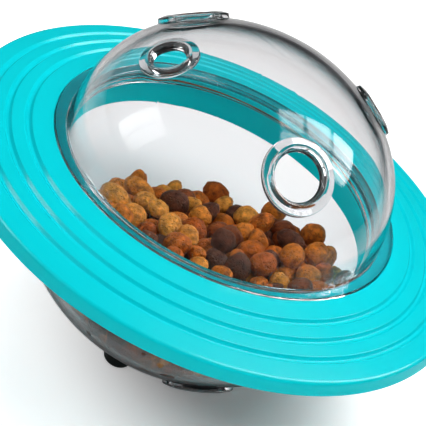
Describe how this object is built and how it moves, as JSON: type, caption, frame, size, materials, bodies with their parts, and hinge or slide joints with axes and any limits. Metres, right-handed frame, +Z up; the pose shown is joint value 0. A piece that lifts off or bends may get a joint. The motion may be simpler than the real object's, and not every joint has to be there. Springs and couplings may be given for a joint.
{
  "type": "wobble treat dispenser",
  "caption": "Rolling pet treat dispenser: a clear dome with open ports and a clear weighted bowl, screwed to a wide grooved turquoise saucer brim.",
  "frame": {"origin": "middle of the circle that the feet stand on, at floor level", "axes": "+Z up along the common axis of bowl, brim and dome; -Y is the front, on the axis of a large port; +X is the right side, near a small port"},
  "size_m": [0.2092, 0.2092, 0.1435],
  "materials": {
    "turquoise_plastic": "smooth moulded, glossy",
    "clear_plastic": "water-clear, polished mould",
    "port_plastic": "water-clear, polished",
    "silicone": "clear, smooth",
    "cast_weight": "grey, as cast",
    "foot_rubber": "dark, smooth, slightly glossy",
    "screw_steel": "bright zinc-plated"
  },
  "bodies": {
    "base": {"lower_bowl": "clear_plastic", "bowl_cap_front": "port_plastic", "bowl_cap_back": "port_plastic", "counterweight": "cast_weight", "weight_cover": "turquoise_plastic", "foot_front_right": "foot_rubber", "foot_back_right": "foot_rubber", "foot_back_left": "foot_rubber", "foot_front_left": "foot_rubber", "foot_screws": "screw_steel"},
    "bowl_seal": {"bowl_gasket": "silicone"},
    "brim": {"brim_deck": "turquoise_plastic", "brim_underplate": "turquoise_plastic"},
    "dome_seal": {"dome_gasket": "silicone"},
    "dome": {"upper_dome": "clear_plastic", "dome_port_front": "port_plastic", "dome_port_right": "port_plastic", "dome_port_back": "port_plastic", "dome_port_left": "port_plastic"}
  },
  "joints": [
    {"name": "brim_rise", "type": "slide", "parent": "base", "child": "bowl_seal", "axis": [0, 0, 1], "range_m": [0, 0.0036]},
    {"name": "brim_turn", "type": "hinge", "parent": "bowl_seal", "child": "brim", "pos_m": [0, 0, 0.08408], "axis": [0, 0, 1], "range_deg": [0, 90]},
    {"name": "dome_rise", "type": "slide", "parent": "brim", "child": "dome_seal", "axis": [0, 0, 1], "range_m": [0, 0.0036]},
    {"name": "dome_turn", "type": "hinge", "parent": "dome_seal", "child": "dome", "pos_m": [0, 0, 0.08768], "axis": [0, 0, 1], "range_deg": [0, 90]}
  ],
  "couplings": [
    {"joint": "brim_rise", "follows": "brim_turn", "m_per_rad": 0.0022282},
    {"joint": "dome_rise", "follows": "dome_turn", "m_per_rad": 0.0022282}
  ]
}
